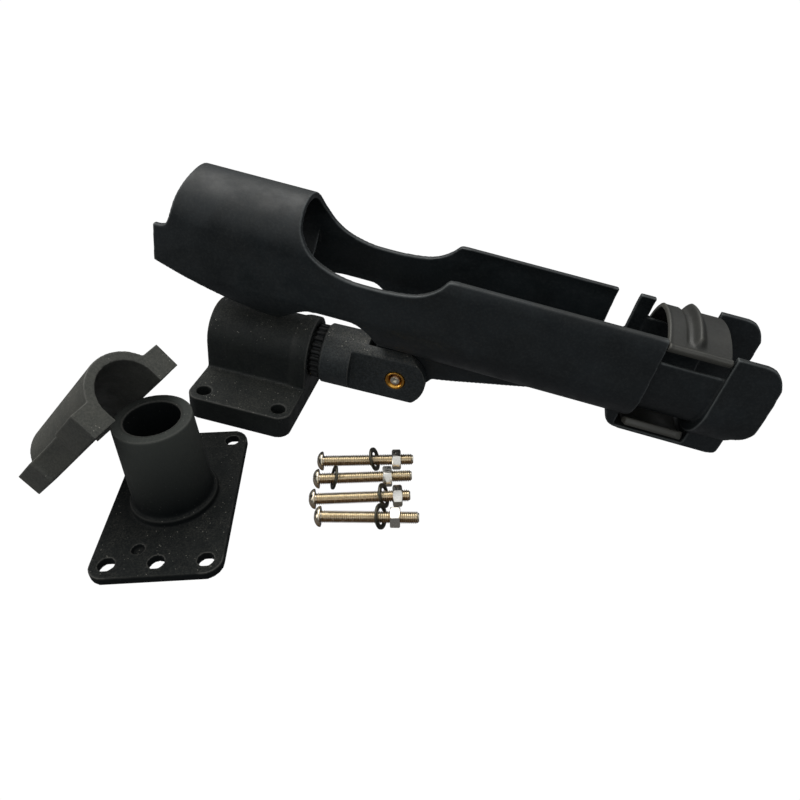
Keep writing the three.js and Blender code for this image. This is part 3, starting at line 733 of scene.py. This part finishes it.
def ring_outer(t, x):
    fade = ease(t, 30, 40) * (1 - ease(t, RING_END - 16, RING_END - 5))
    bead = BEAD_H * bell(x - BEAD_X, 3.0 if x < BEAD_X else 4.6) ** 0.8
    groove = GROOVE_D * bell(x - GROOVE_X, 2.2)
    radius = ring_radius(t) + fade * (bead - groove)
    # a raised lip across the upper end, and a low one along the -X edge
    radius += 2.5 * ease(t, RING_END - 7.5, RING_END - 3.5) * (0.82 + 0.18 * bell(x - 130.5, 9))
    radius += 0.55 * bell(x - RING_X0, 2.6) * ease(t, 20, 40)
    # rolled-over edges; 0.6 is roughly millimetres per degree
    edge = min(x - RING_X0, RING_X1 - x)
    radius -= 0.7 * (1 - min(1.0, edge / 0.9)) ** 2
    end = min(t - RING_START, RING_END - t) * 0.6
    radius -= 1.0 * (1 - min(1.0, end / 1.1)) ** 2
    return radius


def ring_inner(t, x):
    radius = ring_radius(t) - RING_WALL
    # thicker towards the lower end
    radius -= 2.3 * (1 - ease(t, RING_START + 5, RING_START + 24))
    radius += 0.9 * (1 - min(1.0, (t - RING_START) * 0.6 / 1.3)) ** 2
    radius -= 0.5 * ease(t, RING_END - 6, RING_END - 3)
    edge = min(x - RING_X0, RING_X1 - x)
    radius += 0.35 * (1 - min(1.0, edge / 0.7)) ** 2
    return radius


def ring_x(t, u):
    """Place across the width; the lower end's +X corner is rounded off."""
    k = max(0.0, 1 - (t - RING_START) / 7.5)
    trim = 4.0 * (1 - sqrt(max(0.0, 1 - k * k)))
    return RING_X0 + (RING_X1 - RING_X0 - trim) * u


def locking_ring():
    """A closed shell over a grid of angle and width."""
    verts = []
    for surface in (ring_outer, ring_inner):
        for i in range(ANGLE_STEPS + 1):
            t = RING_START + (RING_END - RING_START) * i / ANGLE_STEPS
            for j in range(WIDTH_STEPS + 1):
                u = j / WIDTH_STEPS
                radius = surface(t, RING_X0 + (RING_X1 - RING_X0) * u)
                verts.append((ring_x(t, u), radius * cos(radians(t)),
                              RING_Z + radius * sin(radians(t))))
    row = WIDTH_STEPS + 1
    inner = (ANGLE_STEPS + 1) * row  # index of the first inner vertex
    faces = []
    for i in range(ANGLE_STEPS):
        for j in range(WIDTH_STEPS):
            a = i * row + j
            quad = [a, a + 1, a + row + 1, a + row]
            faces += [quad, [inner + v for v in reversed(quad)]]
        for j in (0, WIDTH_STEPS):
            a = i * row + j
            faces.append([a, a + row, inner + a + row, inner + a])
    for i in (0, ANGLE_STEPS):
        for j in range(WIDTH_STEPS):
            a = i * row + j
            faces.append([a, a + 1, inner + a + 1, inner + a])
    settle(mesh_object(verts, faces), "locking_ring_band", CRADLE_FRAME, "ring", "locking_ring",
           RING_GREY, angle=50)


# ---------------------------------------------------------------- deck plate
PLATE_X, PLATE_Y, PLATE_T, PLATE_R, PLATE_HOLE_D = 63.5, 104, 4.8, 9, 7.8
TUBE_R, TUBE_TOP_R, TUBE_IR, TUBE_H = 20.4, 19.0, 13.3, 57.5
COLLAR_R, COLLAR_H = 22.3, 9.2  # low collar at the tube's foot


def deck_plate():
    plate = along_z(round_rect(PLATE_X, PLATE_Y, PLATE_R), 0, PLATE_T)
    collar = [(0, 1), (COLLAR_R, 1), (COLLAR_R, COLLAR_H - 1.0),
              (COLLAR_R - 0.3, COLLAR_H - 0.3), (COLLAR_R - 1, COLLAR_H), (0, COLLAR_H)]
    plate = add(plate, lathe(collar, 128))
    tube = [(0, 1), (TUBE_R, 1), (TUBE_R, COLLAR_H), (TUBE_TOP_R, TUBE_H), (0, TUBE_H)]
    plate = add(plate, lathe(tube, 128))
    plate = cut(plate, along_z(circle(0, 0, TUBE_IR, 128), -1, TUBE_H + 1))
    for y in (-HOLE_Y - 0.8, HOLE_Y + 0.8):
        for x in (-HOLE_X, 0, HOLE_X):
            plate = cut(plate, along_z(circle(x, y, PLATE_HOLE_D / 2, 48), -1, PLATE_T + 1))
    # one blind hole in the top
    plate = cut(plate, along_z(circle(-10.5, -35.2, 3.1, 40), PLATE_T - 2.6, PLATE_T + 1))
    plate = mould(plate, voxel=0.6, passes=3, keep=0.5)
    settle(plate, "deck_plate_body", PLATE_FRAME, "plate", "deck_plate", PLATE_NYLON)


# ---------------------------------------------------------------- rail clamp half
CLAMP_W, CLAMP_L, CLAMP_T, CLAMP_H = 56.6, 97, 14, 25.8
CLAMP_RI, CLAMP_RO = 15.35, 20.1
CLAMP_HOLE_X, CLAMP_HOLE_Y, CLAMP_HOLE_R = 24.4, 1.5, 3.4  # y: how far inside HOLE_Y
WAIST_Y, WAIST_STEPS = 25, 48  # the waist starts this far from each end


def rail_clamp():
    half = CLAMP_W / 2
    mid = CLAMP_L / 2
    arch_z = CLAMP_H - CLAMP_RO
    profile = ([(half, 0), (half, CLAMP_T), (CLAMP_RO, CLAMP_T)]
               + arc(0, arch_z, CLAMP_RO, 24.5, 155.5, 80)
               + [(-CLAMP_RO, CLAMP_T), (-half, CLAMP_T), (-half, 0), (-CLAMP_RI, 0)]
               + arc(0, arch_z, CLAMP_RI, 180, 0, 80) + [(CLAMP_RI, 0)])
    clamp = along_y(profile, 0, CLAMP_L)
    for side in (1, -1):
        waist = []
        for i in range(WAIST_STEPS + 1):
            inset = (half - CLAMP_RO - 0.6) * sin(pi * i / WAIST_STEPS) ** 0.6
            y = WAIST_Y + (CLAMP_L - 2 * WAIST_Y) * i / WAIST_STEPS
            waist.append((side * (half + 0.01 - inset), y))
        cutter = [(side * 40, WAIST_Y)] + waist + [(side * 40, CLAMP_L - WAIST_Y)]
        clamp = cut(clamp, along_z(cutter, -1, CLAMP_H + 2))
    for x in (-CLAMP_HOLE_X, CLAMP_HOLE_X):
        for y in (mid - HOLE_Y + CLAMP_HOLE_Y, mid + HOLE_Y - CLAMP_HOLE_Y):
            clamp = cut(clamp, along_z(circle(x, y, CLAMP_HOLE_R, 48), -1, CLAMP_T + 6))
    clamp = mould(clamp, voxel=0.5, passes=4, keep=0.5)
    settle(clamp, "rail_clamp_body", CLAMP_FRAME, "clamp", "rail_clamp", CLAMP_NYLON)


# ---------------------------------------------------------------- bolts, nuts and washers
# each lies along its own X, with the bolt's head at 0
BOLT_Z = 5.8
HEAD_R, HEAD_H = 5.3, 3.4
THREAD_PITCH, THREAD_ROOT, THREAD_CREST = 1.0, 2.45, 3.16
THREAD_SEGMENTS, RINGS_PER_TURN = 40, 6
NUT_AF, NUT_T, NUT_R = 10, 5, 3.3  # across flats, thickness, bore radius
WASHER_R, WASHER_IR, WASHER_T, WASHER_EDGE = 6.6, 4.15, 1.2, 0.22
WASHER_LIFT = 0.66
# head x, y; tip x, y; nut and washer stations as shares of the length;
# washer's turns about Y and Z; nut's turn about X
SETS = [
    (58.2, -70.8, 110.2, -58.3, 0.825, 0.598, -20, -8, 0),
    (60.4, -84.8, 112.1, -71.3, 0.752, 0.215, 18, 5, 0),
    (63.1, -99.6, 114.3, -86.0, 0.874, 0.738, -20, -9, -13),
    (69.6, -110.5, 121.9, -100.3, 0.772, 0.635, -18, -13, 17),
]
# (radius, x) from the crown back to the shank
HEAD_PROFILE = [
    (0, 0.05), (1.6, 0.12), (2.6, 0.38), (3.5, 0.8), (4.3, 1.35), (4.9, 2.0), (5.2, 2.55),
    (HEAD_R, 2.95), (HEAD_R, HEAD_H - 0.12), (HEAD_R - 0.15, HEAD_H), (2.65, HEAD_H + 0.02),
    (2.65, HEAD_H + 0.8), (0, HEAD_H + 0.8)]


def thread(x0, x1):
    """A rod with a helical thread, fading out and closed at both ends."""
    seg = THREAD_SEGMENTS
    rings = int(round((x1 - x0) / THREAD_PITCH * RINGS_PER_TURN))
    verts = []
    for i in range(rings + 1):
        x = x0 + (x1 - x0) * i / rings
        fade = max(0.0, min(1.0, (x - x0) / 1.0, (x1 - x) / 1.2))
        chamfer = 0.35 * max(0, 1 - (x1 - x) / 0.9)
        for j in range(seg):
            angle = 2 * pi * j / seg
            phase = ((x - x0) / THREAD_PITCH - j / seg) % 1.0
            ridge = min(1.0, max(0.0, (1 - abs(2 * phase - 1) - 0.1) / 0.75))
            radius = THREAD_ROOT + (THREAD_CREST - THREAD_ROOT) * ridge * fade - chamfer
            verts.append((x, radius * cos(angle), radius * sin(angle)))
    faces = []
    for i in range(rings):
        for j in range(seg):
            k = (j + 1) % seg
            faces.append([i * seg + j, (i + 1) * seg + j, (i + 1) * seg + k, i * seg + k])
    faces.append(list(range(seg)))
    faces.append([rings * seg + j for j in range(seg)][::-1])
    return mesh_object(verts, faces)


def bolt(length):
    head = lathe(HEAD_PROFILE, 72, "X")
    # cross recess in the crown
    for turn in (0, 90):
        c, s = cos(radians(turn + 20)), sin(radians(turn + 20))
        bar = [(-2.3, -0.55), (2.3, -0.55), (2.3, 0.55), (-2.3, 0.55)]
        head = cut(head, along_x([(u * c - v * s, u * s + v * c) for u, v in bar], -1, 1.7))
    return add(head, thread(HEAD_H + 0.1, length))


def hex_nut():
    """Coned corners on both faces and a countersunk bore."""
    corner = NUT_AF / sqrt(3)
    half = NUT_T / 2
    wide = NUT_R + 0.5
    nut = along_x(hexagon(0, 0, corner), -half, half)
    cones = [(0, -half), (NUT_AF / 2 - 0.15, -half), (corner + 0.05, -half + 0.62),
             (corner + 0.05, half - 0.62), (NUT_AF / 2 - 0.15, half), (0, half)]
    nut = meet(nut, lathe(cones, 96, "X"))
    bore = [(0, -half - 1), (wide, -half - 1), (wide, -half - 0.01), (NUT_R, -half + 0.5),
            (NUT_R, half - 0.5), (wide, half + 0.01), (wide, half + 1), (0, half + 1)]
    nut = cut(nut, lathe(bore, 64, "X"))
    bevel = nut.modifiers.new("bev", "BEVEL")
    bevel.width = 0.22
    bevel.segments = 3
    bevel.limit_method = "ANGLE"
    bevel.angle_limit = radians(32)
    return apply_modifiers(nut)


def washer():
    face = -WASHER_T / 2
    e = WASHER_EDGE
    lower = [(WASHER_IR, face + e), (WASHER_IR + e * 0.4, face + e * 0.3), (WASHER_IR + e, face),
             (WASHER_R - e, face), (WASHER_R - e * 0.3, face + e * 0.3), (WASHER_R, face + e)]
    upper = [(radius, -x) for radius, x in reversed(lower)]
    return lathe(lower + upper + lower[:1], 96, "X")


def hardware():
    for i, (head_x, head_y, tip_x, tip_y, nut_at, washer_at, lean, yaw, spin) in enumerate(SETS, 1):
        length = hypot(tip_x - head_x, tip_y - head_y)
        heading = atan2(tip_y - head_y, tip_x - head_x)
        frame = Matrix.Translation((head_x, head_y, BOLT_Z)) @ Matrix.Rotation(heading, 4, "Z")
        settle(bolt(length), f"bolt_{i}_threaded", frame, f"bolt_{i}", f"bolt_{i}",
               STEEL, angle=48)
        nut_frame = frame @ Matrix.Translation((nut_at * length, 0, 0)) @ turned(spin, "X")
        settle(hex_nut(), f"nut_{i}_hex", nut_frame, f"nut_{i}", f"nut_{i}",
               NUT_STEEL, angle=30)
        washer_frame = (frame @ Matrix.Translation((washer_at * length, 0, WASHER_LIFT))
                        @ turned(lean, "Y") @ turned(yaw, "Z"))
        settle(washer(), f"washer_{i}_plain", washer_frame, f"washer_{i}", f"washer_{i}",
               WASHER_STEEL, angle=40)


mount_block()
swivel_arm()
pivot_hardware()
rod_cradle()
locking_ring()
deck_plate()
rail_clamp()
hardware()


# ---------------------------------------------------------------- floor, light and camera
def white_to_camera(shader, lit, white_kind, output_kind):
    """Shows plain white to the camera and `lit` to all other rays."""
    white = shader.node(white_kind, {"Color": (1, 1, 1, 1), "Strength": 1.02})
    camera_ray = shader.node("ShaderNodeLightPath").outputs["Is Camera Ray"]
    both = shader.node("ShaderNodeMixShader", {
        0: camera_ray, 1: lit.outputs[0], 2: white.outputs[0]})
    shader.node(output_kind, {"Surface": both.outputs[0]})


def make_floor():
    bpy.ops.mesh.primitive_plane_add(size=14, location=(0.1, 0, -0.22))
    floor = bpy.context.object
    floor.name = "floor"
    material = bpy.data.materials.new("floor_pale")
    shader = Shader(material)
    grey = shader.node("ShaderNodeBsdfDiffuse", {"Color": (0.16, 0.16, 0.165, 1)})
    white_to_camera(shader, grey, "ShaderNodeEmission", "ShaderNodeOutputMaterial")
    floor.data.materials.append(material)


def make_world():
    """Cool light that grows with height."""
    scene.world = bpy.data.worlds.new("studio")
    shader = Shader(scene.world)
    height = shader.z_of(shader.node("ShaderNodeTexCoord").outputs["Generated"])
    strength = shader.ramp(height, across=(-0.15, 0.9), to=(0.035, 0.60))
    sky = shader.node("ShaderNodeBackground", {
        "Color": (0.95, 0.975, 1.0, 1), "Strength": strength})
    white_to_camera(shader, sky, "ShaderNodeBackground", "ShaderNodeOutputWorld")


def area(name, place, target, size, power, colour):
    light = bpy.data.lights.new(name, "AREA")
    light.shape = "RECTANGLE"
    light.size, light.size_y = size
    light.energy = power
    light.color = colour
    obj = bpy.data.objects.new(name, light)
    scene.collection.objects.link(obj)
    obj.location = place
    obj.rotation_mode = "QUATERNION"
    obj.rotation_quaternion = (Vector(target) - Vector(place)).to_track_quat("-Z", "Y")
    obj.visible_camera = False


def make_camera():
    lens = bpy.data.cameras.new("camera")
    lens.sensor_width = 36
    lens.lens = 28.865
    lens.clip_start = 0.01
    lens.clip_end = 50
    camera = bpy.data.objects.new("camera", lens)
    scene.collection.objects.link(camera)
    # columns: the camera's right, up and backward directions, and its place
    camera.matrix_world = Matrix((
        (0.976458, -0.123292, 0.176997, 0.162078),
        (0.215535, 0.590343, -0.777843, -0.319105),
        (-0.008587, 0.797680, 0.603019, 0.243853),
        (0, 0, 0, 1)))
    scene.camera = camera


make_floor()
make_world()
area("key_softbox", place=(-0.15, 0.25, 1.15), target=(0.1, -0.02, 0.03), size=(1.3, 0.9),
     power=8.0, colour=(1.0, 0.985, 0.955))
area("front_fill", place=(0.5, -1.2, 0.55), target=(0.1, 0, 0.04), size=(1.0, 0.8),
     power=1.2, colour=(0.93, 0.97, 1.0))
area("left_fill", place=(-1.1, -0.5, 0.5), target=(0, -0.05, 0.04), size=(0.8, 0.8),
     power=3.4, colour=(1.0, 0.97, 0.93))
make_camera()
scene.view_settings.view_transform = "Standard"
